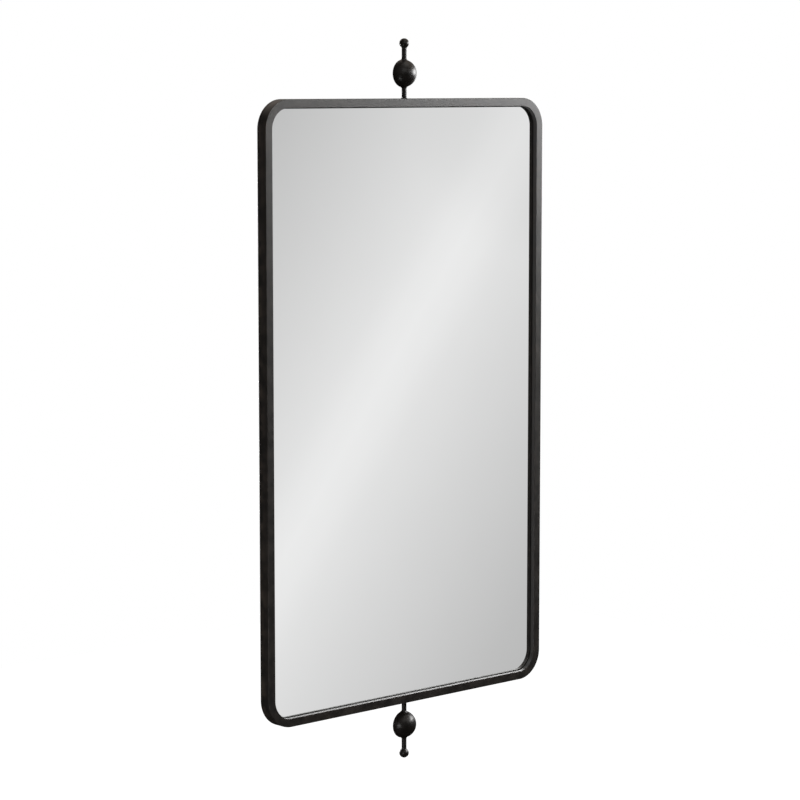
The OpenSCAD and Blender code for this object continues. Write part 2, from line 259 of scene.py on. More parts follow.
def zincPlate():
    material, tree, shader = startMaterial("zinc plate")
    tint = noiseOf(tree, zincFinish["tint"])
    fine = noiseOf(tree, zincFinish["fine"])
    colourRamp(tree, tint, zincFinish["tones"], shader.inputs["Base Color"])
    mapTo(tree, fine, shader.inputs["Roughness"], *zincFinish["roughness"])
    addBumps(tree, shader, [(fine, *zincFinish["bump"])])
    setShader(shader, Metallic=1.0)
    return material


nylonFinish = {"low": (0.011, 0.011, 0.012), "high": (0.018, 0.018, 0.019), "spread": (0.3, 0.7),
               "spark": 1600.0, "flow": 150.0, "roughness": (0.40, 0.52), "bump": (0.15, 0.03)}


def mouldedNylon():
    material, tree, shader = startMaterial("moulded nylon")
    spark = noiseOf(tree, nylonFinish["spark"])
    paintTwoTones(tree, shader, noiseOf(tree, nylonFinish["flow"]), nylonFinish)
    addBumps(tree, shader, [(spark, *nylonFinish["bump"])])
    return material


foamFinish = {"low": (0.62, 0.62, 0.59), "high": (0.80, 0.80, 0.77), "spread": (0.1, 0.6),
              "cells": 1100.0, "roughness": (0.85, 0.95), "bump": (0.6, 0.25)}


def foamTape():
    material, tree, shader = startMaterial("foam tape")
    cells = cellsOf(tree, foamFinish["cells"])
    paintTwoTones(tree, shader, cells, foamFinish)
    addBumps(tree, shader, [(cells, *foamFinish["bump"])])
    return material


boardFinish = {
    "dark": (0.150, 0.088, 0.047), "body": (0.235, 0.148, 0.084), "pale": (0.34, 0.235, 0.145),
    "fibre": 420.0, "stretch": (0.08, 1.0, 1.0), "turns": (12.0, 57.0, 104.0, 151.0), "fibreTo": (0.35, 0.75),
    "toneAt": (0.25, 0.55, 0.95), "cloud": 14.0, "clouded": (0.55, 0.35, 0.7),
    "roughness": (0.58, 0.75), "bump": (0.35, 0.12),
}


def fibreboard():
    # pressed fibres lie every way: long thin noises at several angles
    material, tree, shader = startMaterial("fibreboard")
    total = None
    for turn in boardFinish["turns"]:
        lines = noiseOf(tree, boardFinish["fibre"], detail=2.0, stretch=boardFinish["stretch"], turn=turn)
        fibre = mapTo(tree, lines, None, 0.0, 1.0, *boardFinish["fibreTo"])
        total = fibre if total is None else mathOf(tree, "MAXIMUM", total, fibre)
    cloud = noiseOf(tree, boardFinish["cloud"], detail=5.0)
    tones = (boardFinish["dark"], boardFinish["body"], boardFinish["pale"])
    fibres = colourRamp(tree, total, zip(boardFinish["toneAt"], tones))
    most, start, end = boardFinish["clouded"]
    mixColours(tree, mapTo(tree, cloud, None, 0.0, most, start, end), fibres, boardFinish["body"],
               shader.inputs["Base Color"])
    mapTo(tree, total, shader.inputs["Roughness"], *boardFinish["roughness"])
    addBumps(tree, shader, [(total, *boardFinish["bump"])])
    return material


rubberFinish = {"low": (0.012, 0.012, 0.012), "high": (0.022, 0.022, 0.022), "spread": (0.35, 0.7),
                "dust": 420.0, "roughness": (0.62, 0.80), "bump": (0.25, 0.06)}


def softRubber():
    material, tree, shader = startMaterial("soft rubber")
    dust = noiseOf(tree, rubberFinish["dust"], detail=5.0)
    paintTwoTones(tree, shader, dust, rubberFinish)
    addBumps(tree, shader, [(dust, *rubberFinish["bump"])])
    return material


finishes = {
    "black_frame": satinBlack("frame coat", frameFinish),
    "black_finial": satinBlack("finial coat", finialFinish),
    "black_yoke": powderCoat(),
    "zinc": zincPlate(),
    "nylon": mouldedNylon(),
    "mirror": silveredGlass(),
    "foam": foamTape(),
    "board": fibreboard(),
    "rubber": softRubber(),
}
for node, piece in nodes.items():
    piece.data.materials.clear()
    piece.data.materials.append(finishes[slotOf[node]])
print("finishes on the CAD nodes:", len(nodes))


axisPlace = Vector((0, -75.5, 0)) * mm      # a point of the upright axis that the mirror turns about
standUp = Matrix.Rotation(math.pi / 2, 3, "X")      # a flat shape stands up and faces -Y


def markWorn(bm):
    # rounded edges rub first; a vertex is fully worn from 30 degrees off the flat sides
    layer = bm.verts.layers.float.new("worn")
    bm.normal_update()
    for v in bm.verts:
        across, out = math.hypot(v.normal.x, v.normal.z), abs(v.normal.y)
        v[layer] = min(1.0, 2.0 * min(across, out))


def newPiece(bm, name, node=None, body=None, slot=None, finish=None, sharp=35, even=False, rubbed=False,
             flip=False):
    if flip:      # a lower piece is its upper one upside down
        bmesh.ops.scale(bm, vec=(1, 1, -1), verts=bm.verts)
    bmesh.ops.remove_doubles(bm, verts=bm.verts, dist=mergeWithin)
    bmesh.ops.recalc_face_normals(bm, faces=bm.faces)
    for face in bm.faces:
        face.smooth = True
    for edge in bm.edges:
        edge.smooth = not (edge.is_manifold and edge.calc_face_angle() > math.radians(sharp))
    if rubbed:
        markWorn(bm)
    mesh = bpy.data.meshes.new(name)
    bm.to_mesh(mesh)
    bm.free()
    for material in finish or [finishes[slot or slotOf[node]]]:
        mesh.materials.append(material)
    piece = bpy.data.objects.new(name, mesh)
    bpy.context.scene.collection.objects.link(piece)
    if even:
        piece.modifiers.new("even shading", "WEIGHTED_NORMAL").keep_sharp = True
    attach(piece, body or bodyOf[node])
    if node:
        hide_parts(node)
    return piece


def turnShape(start, path, steps=48):
    # start and path give radius and height in mm
    # a leg of four numbers is an arc: its centre, its degrees and its pieces
    bm = bmesh.new()
    pen = bm.verts.new(Vector((start[0], 0, start[1])) * mm)
    for leg in path:
        if len(leg) == 2:
            tip = bm.verts.new(Vector((leg[0], 0, leg[1])) * mm)
            bm.edges.new((pen, tip))
            pen = tip
        else:
            arc = bmesh.ops.spin(bm, geom=[pen], cent=Vector((leg[0], 0, leg[1])) * mm, axis=(0, -1, 0),
                                 angle=math.radians(leg[2]), steps=leg[3])
            pen = next(g for g in arc["geom_last"] if isinstance(g, bmesh.types.BMVert))
    bmesh.ops.spin(bm, geom=bm.verts[:] + bm.edges[:], cent=(0, 0, 0), axis=(0, 0, 1), angle=math.tau,
                   steps=steps, use_merge=True)
    bmesh.ops.remove_doubles(bm, verts=bm.verts, dist=mergeWithin)
    return bm


def moveShape(bm, to, along=(0, 0, 1)):
    turn = Vector((0, 0, 1)).rotation_difference(Vector(along)).to_matrix()
    bmesh.ops.rotate(bm, verts=bm.verts, cent=(0, 0, 0), matrix=turn)
    bmesh.ops.translate(bm, verts=bm.verts, vec=to)
    return bm


def joinInto(whole, part):
    one = bpy.data.meshes.new("one")
    part.to_mesh(one)
    part.free()
    whole.from_mesh(one)
    bpy.data.meshes.remove(one)


def thicken(bm, thick):
    # a flat sheet gets sides and a back, towards +Y
    grown = bmesh.ops.extrude_face_region(bm, geom=bm.faces[:], use_keep_orig=True)
    back = [g for g in grown["geom"] if isinstance(g, bmesh.types.BMVert)]
    bmesh.ops.translate(bm, verts=back, vec=(0, thick * mm, 0))
    bmesh.ops.recalc_face_normals(bm, faces=bm.faces)


def roundSheet(bm, size):
    # lies flat at first, then stands up to face -Y
    made = bmesh.ops.create_grid(bm, x_segments=1, y_segments=1, size=0.5)["verts"]
    bmesh.ops.scale(bm, verts=made, vec=(size["width"] * mm, size["height"] * mm, 1))
    bmesh.ops.bevel(bm, geom=made, offset=size["corner"] * mm, segments=size["cornerPieces"], profile=0.5,
                    affect="VERTICES", material=-1)
    bmesh.ops.rotate(bm, verts=bm.verts, cent=(0, 0, 0), matrix=standUp)
    bmesh.ops.translate(bm, verts=bm.verts, vec=(0, size["front"] * mm, 0))


def roundPlate(bm, size):
    roundSheet(bm, size)
    thicken(bm, size["thick"])


def bevelSharp(bm, width, pieces, least):
    # width in mm, on every edge that turns by more than least degrees
    edges = [e for e in bm.edges if e.is_manifold and e.calc_face_angle() > math.radians(least)]
    bmesh.ops.bevel(bm, geom=edges, offset=width * mm, segments=pieces, profile=0.5, affect="EDGES",
                    material=-1, clamp_overlap=True)


def cutAcross(bm, faces, place, square, within):
    parts = faces + [e for f in faces for e in f.edges] + [v for f in faces for v in f.verts]
    bmesh.ops.bisect_plane(bm, geom=list(dict.fromkeys(parts)), dist=within, plane_co=place, plane_no=square)


# the glass: a rounded plate with a ground arris round both faces
pane = {"width": 531.8, "height": 887.4, "corner": 29.5, "front": -81.5, "thick": 3.0, "cornerPieces": 20,
        "arris": 0.4, "flatFrom": 0.99}


def makePane():
    bm = bmesh.new()
    roundPlate(bm, pane)
    bevelSharp(bm, pane["arris"], pieces=1, least=60)
    for face in bm.faces:      # mirror in front, ground edge round it, paint behind
        back = face.normal.y > pane["flatFrom"]
        face.material_index = 0 if face.normal.y < -pane["flatFrom"] else 2 if back else 1
    newPiece(bm, "mirrorPane", "mirror_glass", sharp=30,
             finish=[finishes["mirror"], groundEdge(), backPaint()])


# black mastic that closes the gap between glass and tube; this dark strip is partly painted shade, standing
# in for the shade in that gap
sealAndShade = {"width": 533.3, "height": 888.9, "corner": 30.2, "front": -80.9, "thick": 2.2, "cornerPieces": 20,
        "wide": 1.1}


def makeSealAndShade():
    bm = bmesh.new()
    roundSheet(bm, sealAndShade)
    bmesh.ops.inset_region(bm, faces=bm.faces[:], thickness=sealAndShade["wide"] * mm, use_even_offset=True,
                           use_boundary=True)
    middle = max(bm.faces, key=lambda f: f.calc_area())
    bmesh.ops.delete(bm, geom=[middle], context="FACES_ONLY")
    thicken(bm, sealAndShade["thick"])
    # a dark strip, partly real mastic and partly painted shade where the gap would be shaded
    newPiece(bm, "edgeSealAndShade", body="mirror", slot="rubber")


# the bent tube: one section, run round the four sides and corners
tube = {
    "width": 558.8, "height": 914.4, "corner": 43.0,
    "face": 12.7, "depth": 19.0, "front": -89.5, "wall": 1.1,
    "edge": 0.6, "edgePieces": 4, "cornerPieces": 28,
    "seamBack": -73.7, "seamWidth": 0.8, "seamDepth": 0.4, "endsMeet": 0.005,
    "slotWidth": 22.0, "slotLow": 447.5, "slotHigh": 456.0, "slotWithin": 0.001,
}


def makeTube():
    t = tube
    side, top, bend = t["width"] / 2, t["height"] / 2, t["corner"]
    bm = bmesh.new()
    seamFront = t["seamBack"] - t["seamWidth"]
    outline = [
        (side - t["face"], t["front"]), (side, t["front"]), (side, seamFront),
        (side - t["seamDepth"], seamFront), (side - t["seamDepth"], t["seamBack"]), (side, t["seamBack"]),
        (side, t["front"] + t["depth"]), (side - t["face"], t["front"] + t["depth"])]
    corners = [bm.verts.new(Vector((x, y, bend - top)) * mm) for x, y in outline]
    bm.faces.new(corners)
    outer = [corners[i] for i in (0, 1, 6, 7)]      # all but the seam's own corners
    bmesh.ops.bevel(bm, geom=outer, offset=t["edge"] * mm,
                    segments=t["edgePieces"], profile=0.5, affect="VERTICES", material=-1)
    bmesh.ops.delete(bm, geom=bm.faces[:], context="FACES_ONLY")
    loop = bm.edges[:]
    turnAt = Vector((side - bend, 0, top - bend)) * mm
    for right, high in ((1, 1), (-1, 1), (-1, -1), (1, -1)):
        # a straight run up to each corner, then its bend
        along = (0, 0, 2 * (top - bend) * mm) if right == high else (2 * (side - bend) * mm, 0, 0)
        grown = bmesh.ops.extrude_edge_only(bm, edges=loop)["geom"]
        ends = [g for g in grown if isinstance(g, bmesh.types.BMVert)]
        bmesh.ops.translate(bm, verts=ends, vec=Vector(along) * right)
        loop = [g for g in grown if isinstance(g, bmesh.types.BMEdge) and g.is_boundary]
        bent = bmesh.ops.spin(bm, geom=loop + list(dict.fromkeys(v for e in loop for v in e.verts)),
                              cent=(turnAt.x * right, 0, turnAt.z * high), axis=(0, -1, 0),
                              angle=math.pi / 2, steps=t["cornerPieces"])["geom_last"]
        loop = [g for g in bent if isinstance(g, bmesh.types.BMEdge)]
    bmesh.ops.remove_doubles(bm, verts=bm.verts, dist=t["endsMeet"] * mm)
    bmesh.ops.recalc_face_normals(bm, faces=bm.faces)

    # slots in the back wall for the yoke's tongues
    half = t["slotWidth"] / 2
    backWall = (t["front"] + t["depth"] - 0.1) * mm      # a face past this is in the back wall
    rails = (top - t["face"] - 1) * mm      # and past this height in the top or bottom rail
    cuts = [((half, 0, 0), (1, 0, 0)), ((-half, 0, 0), (1, 0, 0))]
    cuts += [((0, 0, z * s), (0, 0, 1)) for z in (t["slotLow"], t["slotHigh"]) for s in (1, -1)]
    for place, square in cuts:
        near = [f for f in bm.faces if f.calc_center_median().y > backWall
                and abs(f.calc_center_median().z) > rails]
        cutAcross(bm, near, Vector(place) * mm, square, t["slotWithin"] * mm)
    slot = [f for f in bm.faces if f.calc_center_median().y > backWall
            and abs(f.calc_center_median().x) < half * mm
            and t["slotLow"] * mm < abs(f.calc_center_median().z) < t["slotHigh"] * mm]
    bmesh.ops.delete(bm, geom=slot, context="FACES")
    bmesh.ops.solidify(bm, geom=bm.faces[:], thickness=t["wall"] * mm)
    print("tube faces", len(bm.faces), "slot faces", len(slot))
    newPiece(bm, "frameTube", "frame_tube", even=True, rubbed=True)


# finials: half-ball domes with weld beads, rods, and balls on their ends
dome = {"radius": 20.8, "out": 494.2, "flat": -72.5, "rim": 0.45, "rimPieces": 3, "segments": 72,
        "unevenness": 0.07, "lumps": 45.0, "evenTo": 0.5, "lowerLumps": 3.7}
fillet = {
    # radius, and height over the ball's surface
    "path": [(3.3, 1.9), (3.7, 1.85), (3.82, 1.5), (4.05, 1.02), (4.4, 0.56), (4.8, 0.24), (5.2, 0.05),
             (5.5, -0.12), (5.3, -1.0), (3.3, -1.0)],
    "lumps": 1.6, "unevenness": 0.35, "lowerLumps": 7,
}
rod = {"radius": 3.75, "journal": 3.0, "thread": 2.5, "tongue": 448.5, "journalFrom": 454.5,
       "shoulder": 458.7, "chamfer": 0.35, "threadEdge": 0.3, "intoBall": 0.3, "steps": 40}
ball = {"radius": 7.3, "centre": 538.7, "neck": 2.4, "neckPieces": 8, "pieces": 30}


def makeDome(name, node, flip):
    bm = bmesh.new()
    bmesh.ops.create_uvsphere(bm, u_segments=dome["segments"], v_segments=dome["segments"] // 2,
                              radius=dome["radius"] * mm)
    bmesh.ops.rotate(bm, verts=bm.verts, cent=(0, 0, 0), matrix=standUp)
    bmesh.ops.bisect_plane(bm, geom=bm.verts[:] + bm.edges[:] + bm.faces[:], dist=0.001 * mm,
                           plane_co=(0, 0, 0), plane_no=(0, 1, 0), clear_outer=True)
    bmesh.ops.edgeloop_fill(bm, edges=[e for e in bm.edges if e.is_boundary])
    bevelSharp(bm, dome["rim"], pieces=dome["rimPieces"], least=60)
    other = Vector((0, 0, dome["lowerLumps"] if flip else 0))      # the two balls aren't uneven alike
    for v in bm.verts:      # a cast ball is never quite even; it only sinks, so the size stays
        depth = noise.noise(v.co * dome["lumps"] + other) * 0.5 + 0.5
        if v.co.y < -dome["evenTo"] * mm:
            v.co -= v.co.normalized() * depth * dome["unevenness"] * mm
    bmesh.ops.translate(bm, verts=bm.verts, vec=(0, dome["flat"] * mm, dome["out"] * mm))

    # welds where the rod leaves the ball, laid down on its round side
    for end in (1, -1):
        ring = moveShape(turnShape(fillet["path"][-1], fillet["path"]), axisPlace)
        other = Vector((0, 0, end + (fillet["lowerLumps"] if flip else 0)))
        for v in ring.verts:
            out = Vector((v.co.x, v.co.y - axisPlace.y, 0))
            lump = noise.noise(out.normalized() * fillet["lumps"] + other)
            away = Vector((v.co.x, v.co.y - dome["flat"] * mm, 0)).length
            surface = math.sqrt((dome["radius"] * mm) ** 2 - away ** 2)
            v.co.z = dome["out"] * mm + end * (surface + v.co.z * (1 + fillet["unevenness"] * lump))
        joinInto(bm, ring)
    newPiece(bm, name, node, sharp=50, even=True, flip=flip)


def ballNeck():
    # the hollow neck meets rod and ball without a step: its start, and how far its arc turns
    rise = math.sqrt((ball["radius"] + ball["neck"]) ** 2 - (rod["radius"] + ball["neck"]) ** 2)
    return ball["centre"] - rise, math.degrees(math.atan2(rise, rod["radius"] + ball["neck"]))


# drawn rod is duller than the balls
rodCoat = satinBlack("rod coat", dict(finialFinish, roughness=(0.48, 0.56)))


def makeRod(name, node, flip):
    r = rod
    top = ballNeck()[0] + r["intoBall"]
    bm = turnShape((0, r["tongue"]), [
        (r["thread"] - r["threadEdge"], r["tongue"]), (r["thread"], r["tongue"] + r["threadEdge"]),
        (r["thread"], r["journalFrom"]),
        (r["journal"], r["journalFrom"]), (r["journal"], r["shoulder"]),
        (r["radius"] - r["chamfer"], r["shoulder"]), (r["radius"], r["shoulder"] + r["chamfer"]),
        (r["radius"], top), (0, top)], r["steps"])
    newPiece(moveShape(bm, axisPlace), name, node, finish=[rodCoat], flip=flip)


def makeBall(name, node, flip):
    b = ball
    foot, sweep = ballNeck()
    bm = turnShape((0, foot), [
        (rod["radius"], foot), (rod["radius"] + b["neck"], foot, -sweep, b["neckPieces"]),
        (0, b["centre"], 90 + sweep, b["pieces"])])
    newPiece(moveShape(bm, axisPlace), name, node, sharp=50, flip=flip)


# bushes: nylon flanges between frame and rod
bushing = {"bore": 3.05, "body": 4.0, "flange": 4.8, "low": 456.0, "seat": 457.2, "high": 458.2,
           "round": 0.2, "steps": 40}


def makeBush(name, node, flip):
    b = bushing
    bm = turnShape((b["bore"], b["low"]), [
        (b["body"], b["low"]), (b["body"], b["seat"]), (b["flange"] - b["round"], b["seat"]),
        (b["flange"], b["seat"] + b["round"]), (b["flange"], b["high"] - b["round"]),
        (b["flange"] - b["round"], b["high"]), (b["bore"], b["high"]), (b["bore"], b["low"])], b["steps"])
    newPiece(moveShape(bm, axisPlace), name, node, flip=flip)


# bumpers on the back of the frame, domed so that they meet a wall softly
bumper = {"across": 273.05, "up": 400.2, "seat": -70.5, "height": 3.5, "radius": 4.5, "tip": 3.6,
          "round": 1.2, "foot": 0.3, "tipArc": 75, "tipPieces": 5, "steps": 32}


def makeBumpers():
    b = bumper
    bm = bmesh.new()
    brow = b["height"] - b["round"] - b["foot"]
    for x in (-b["across"], b["across"]):
        for z in (-b["up"], b["up"]):
            one = turnShape((0, 0), [
                (b["radius"] - b["foot"], 0), (b["radius"], b["foot"]), (b["tip"], brow),
                (b["tip"] - b["round"], brow, b["tipArc"], b["tipPieces"]), (0, b["height"])],
                b["steps"])
            joinInto(bm, moveShape(one, Vector((x, b["seat"], z)) * mm, (0, 1, 0)))
    newPiece(bm, "wallBumpers", "wall_bumpers", sharp=60)


# tabs that hold the board, with a rippled weld along each root
tabs = {"wide": 16.0, "reach": 14.0, "thick": 1.5, "seat": -73.5, "corner": 1.6, "edge": 0.2,
        "side": 266.7, "top": 444.5, "sideZ": (-327.2, 0, 327.2), "topX": 149.4,
        "bead": 0.8, "beadEnd": 1.0, "beadOff": 0.1, "beadTaper": 0.45, "beadBlunt": 6, "beadRings": 28,
        "ripple": 0.09, "ripples": 9}


def tabPlaces():
    # where each tab leaves the tube, and the way it points
    for z in tabs["sideZ"]:
        for s in (1, -1):
            yield Vector((s * tabs["side"], tabs["seat"], z)) * mm, Vector((-s, 0, 0))
    for s in (1, -1):
        for x in (tabs["topX"], -tabs["topX"]):
            yield Vector((x, tabs["seat"], s * tabs["top"])) * mm, Vector((0, 0, -s))


def atEachTab(make):
    # make() builds one at the origin: its reach runs along +Z, and its back faces +Y
    whole = bmesh.new()
    for place, inward in tabPlaces():
        bm = make()
        bmesh.ops.rotate(bm, verts=bm.verts, cent=(0, 0, 0),
                         matrix=Matrix.Rotation(math.atan2(inward.x, inward.z), 3, "Y"))
        bmesh.ops.translate(bm, verts=bm.verts, vec=place)
        joinInto(whole, bm)
    return whole


def oneTab():
    t = tabs
    bm = bmesh.new()
    made = bmesh.ops.create_grid(bm, x_segments=1, y_segments=1, size=0.5)["verts"]
    bmesh.ops.scale(bm, verts=made, vec=(t["wide"] * mm, t["reach"] * mm, 1))
    bmesh.ops.rotate(bm, verts=bm.verts, cent=(0, 0, 0), matrix=standUp)
    bmesh.ops.translate(bm, verts=bm.verts, vec=(0, 0, t["reach"] / 2 * mm))
    free = [v for v in bm.verts if v.co.z > t["reach"] / 2 * mm]
    bmesh.ops.bevel(bm, geom=free, offset=t["corner"] * mm, segments=4, profile=0.5, affect="VERTICES",
                    material=-1)
    thicken(bm, t["thick"])
    bevelSharp(bm, t["edge"], pieces=2, least=50)
    weld = bmesh.new()
    long = (t["wide"] - 2 * t["beadEnd"]) * mm
    bmesh.ops.create_cone(weld, cap_ends=True, segments=12, radius1=t["bead"] * mm, radius2=t["bead"] * mm,
                          depth=long)
    lines = [e for e in weld.edges if abs(e.verts[0].co.z - e.verts[1].co.z) > long / 2]
    bmesh.ops.subdivide_edges(weld, edges=lines, cuts=t["beadRings"], use_grid_fill=True)
    for v in weld.verts:
        wave = math.cos(v.co.z / long * math.tau * t["ripples"]) * t["ripple"] / t["bead"]
        end = 1 - t["beadTaper"] * (abs(v.co.z) / (long / 2)) ** t["beadBlunt"]
        v.co.x *= (1 + wave) * end
        v.co.y *= (1 + wave) * end
    joinInto(bm, moveShape(weld, (0, t["thick"] * mm, t["beadOff"] * mm), (1, 0, 0)))
    return bm


def makeTabs():
    newPiece(atEachTab(oneTab), "boardTabs", "board_tabs", even=True, rubbed=True)


# pan-head screws with a cross recess, through the tabs into the board
panHead = {
    "shank": 1.5, "length": 4.9, "point": 0.55, "taper": 0.8, "radius": 3.0, "height": 1.3,
    # the head's side: how far in from its radius, and how high over the tab
    "side": [(0.15, 0), (0, 0.15), (0.12, 0.55), (0.38, 0.9)], "top": 2.2, "crown": 0.08,
    "cross": 0.38, "reach": 1.5, "deep": 0.7, "turn": 23, "topFrom": 0.2, "within": 0.0005, "steps": 32,
}


def oneBoardScrew():
    s = panHead
    base = tabs["thick"]
    tip = base - s["length"]
    bm = turnShape((0, tip), [
        (s["shank"] * s["point"], tip), (s["shank"], tip + s["taper"]), (s["shank"], base),
        *((s["radius"] - inset, base + up) for inset, up in s["side"]),
        (s["top"], base + s["height"] - s["crown"]), (0, base + s["height"])], s["steps"])
    centre = Vector((0, 0, tabs["reach"] / 2)) * mm
    moveShape(bm, centre, (0, 1, 0))
    height = (base + s["height"] - s["topFrom"]) * mm
    turn = Matrix.Rotation(math.radians(s["turn"]), 3, "Y")
    for way in ((1, 0, 0), (0, 0, 1)):
        for off in (s["cross"], -s["cross"], s["reach"], -s["reach"]):
            square = turn @ Vector(way)
            top = [f for f in bm.faces if f.calc_center_median().y > height]
            cutAcross(bm, top, centre + square * off * mm, square, s["within"] * mm)
    cross = []
    for face in bm.faces:
        where = turn.transposed() @ (face.calc_center_median() - centre)
        near, far = sorted((abs(where.x) / mm, abs(where.z) / mm))
        if face.calc_center_median().y > height and near < s["cross"] and far < s["reach"]:
            cross.append(face)
    sunk = bmesh.ops.extrude_face_region(bm, geom=cross)
    floor = [g for g in sunk["geom"] if isinstance(g, bmesh.types.BMVert)]
    bmesh.ops.translate(bm, verts=floor, vec=(0, -s["deep"] * mm, 0))
    return bm


def makeBoardScrews():
    newPiece(atEachTab(oneBoardScrew), "boardScrews", "board_screws", sharp=30)


# the board: pressed fibre, its edges a little broken
board = {"width": 531.4, "height": 887.0, "corner": 29.3, "front": -77.5, "thick": 4.0, "cornerPieces": 16,
         "edge": 0.35}


def makeBoard():
    bm = bmesh.new()
    roundPlate(bm, board)
    bevelSharp(bm, board["edge"], pieces=2, least=60)
    newPiece(bm, "backingBoard", "backing_board", sharp=60, even=True)


# the yoke: the CAD shapes with their edges broken by so many mm
yoke = {
    "wall_rail": ("wallRail", 0.4), "upper_arm": ("upperArm", 0.45), "lower_arm": ("lowerArm", 0.45),
    "upper_arm_screws": ("upperArmScrews", 0.12), "lower_arm_screws": ("lowerArmScrews", 0.12),
}


def softenCopy(node, name, width):
    bm = bmesh.new()
    bm.from_mesh(nodes[node].data)
    bmesh.ops.remove_doubles(bm, verts=bm.verts, dist=mergeWithin)
    bmesh.ops.dissolve_limit(bm, angle_limit=math.radians(1), use_dissolve_boundaries=False,
                             verts=bm.verts, edges=bm.edges, delimit=set())
    bevelSharp(bm, width, pieces=2, least=40)
    newPiece(bm, name, node, even=True, rubbed=True)


makePane()
makeSealAndShade()
print("glass, with its seal")
makeTube()
print("frame tube")
for end, flip in (("upper", False), ("lower", True)):
    makeDome(end + "Dome", end + "_dome", flip)
    makeRod(end + "Rod", end + "_rod", flip)
    makeBall(end + "EndBall", end + "_end_ball", flip)
    makeBush(end + "Bush", end + "_bush", flip)
print("finials and bushes")
makeBumpers()
makeTabs()
makeBoardScrews()
makeBoard()
print("board, tabs, screws and bumpers")
for node, (name, width) in yoke.items():
    softenCopy(node, name, width)
print("yoke")


view = {"azimuth": -42.48, "elevation": 6.72, "distance": 4.028, "aim": Vector((-0.0212, -0.0895, 0.0082)),
        "lens": 120.95, "farEnd": 100.0}


def placeCamera():
    turn, rise = math.radians(view["azimuth"]), math.radians(view["elevation"])
    back = Vector((math.sin(turn) * math.cos(rise), -math.cos(turn) * math.cos(rise), math.sin(rise)))
    data = bpy.data.cameras.new("camera")
    camera = bpy.data.objects.new("camera", data)
    bpy.context.scene.collection.objects.link(camera)
    camera.rotation_mode = "QUATERNION"
    camera.location = view["aim"] + back * view["distance"]
    camera.rotation_quaternion = (-back).to_track_quat("-Z", "Y")
    data.lens = view["lens"]
    data.clip_end = view["farEnd"]
    bpy.context.scene.camera = camera
    return camera


camera = placeCamera()
print("camera at", tuple(round(v, 3) for v in camera.location))


studio = {
    "floor": -1.5, "floorSize": 9.0, "floorGrey": 0.62,
    "floorGlow": 0.7,      # what only the camera sees
    "level": 0.55,         # even light from all round
    "streakTilt": math.radians(29.2), "streakPlace": -0.0091, "streakGap": 0.13,
    "streakStops": [(0.0, 0.915), (0.058, 0.89), (0.127, 0.83), (0.25, 0.765), (0.446, 0.67), (0.654, 0.57),
                    (0.9, 0.50)],
    "backFrom": -0.25, "backFull": 0.45, "backShade": 0.45,
    "duskTowards": (0.714, -0.700, -0.017), "duskReach": math.radians(3.0), "duskShade": 0.92,
    "glintTowards": (0.612, -0.668, 0.423), "glintFrom": 0.956, "glintFull": 0.99, "glintStrength": 3.0,
    "dim": (0.020, 0.018, 0.016),      # what satin surfaces see between the glows
}
glows = [
    # towards, starts and is full at (as a cosine), colour, strength
    ((0.35, -0.35, 0.87), 0.55, 0.95, (1.0, 0.82, 0.66), 0.22),
    ((0.69, 0.04, 0.72), 0.70, 1.0, (1.0, 0.84, 0.68), 0.25),
    ((0.90, 0.43, 0.10), 0.75, 1.0, (1.0, 1.0, 1.0), 0.15),
    ((0.0, 1.0, -0.05), 0.87, 1.0, (1.0, 0.98, 0.96), 0.42),
    ((0.23, 0.73, 0.64), 0.82, 1.0, (1.0, 0.87, 0.78), 0.60),
    ((-0.75, -0.45, 0.45), 0.60, 1.0, (1.0, 0.92, 0.86), 0.16),
]
softboxes = [
    # name, centre, aim, width, height, power
    ("key", (2.38, -0.75, 0.78), (0, -0.08, 0), 1.3, 1.0, 36.0),
    ("fill", (2.25, -1.30, 0.90), (0, -0.08, 0), 2.0, 0.8, 22.0),
    ("front", (1.50, -2.60, 1.10), (0, -0.08, 0), 2.0, 0.8, 12.0),
    ("kicker", (1.77, -0.94, 0.60), (0, -0.08, 0), 0.6, 0.6, 9.0),
    ("rim", (1.98, 0.28, 0.40), (0, -0.08, 0), 0.7, 1.2, 9.0),
    ("top", (0.5, -0.7, 2.6), (0, -0.08, 0), 1.6, 1.2, 5.0),
    ("sky", (-0.9, -1.9, 1.6), (0, -0.08, 0.5), 1.4, 1.0, 4.0),
    ("side", (-1.05, -0.40, -0.57), (0, -0.08, -0.49), 0.25, 0.25, 1.9),
    ("back", (0.0, 2.9, -0.1), (0, -0.08, 0), 0.5, 1.4, 30.0),
]


def mixLight(tree, share, first, second):
    made = addNode(tree, "ShaderNodeMixShader")
    for socket, source in zip(made.inputs, (share, first, second)):
        tree.links.new(source, socket)
    return made.outputs["Shader"]


def facing(tree, coords, towards):
    # how far a ray points towards a direction, as a cosine
    made = addNode(tree, "ShaderNodeVectorMath", {1: towards}, operation="DOT_PRODUCT")
    tree.links.new(coords.outputs["Generated"], made.inputs[0])
    return made.outputs["Value"]


def easeTo(tree, source, start, full, low, high):
    made = addNode(tree, "ShaderNodeMapRange",
                   {"From Min": start, "From Max": full, "To Min": low, "To Max": high},
                   interpolation_type="SMOOTHSTEP")
    tree.links.new(source, made.inputs["Value"])
    return made.outputs["Result"]


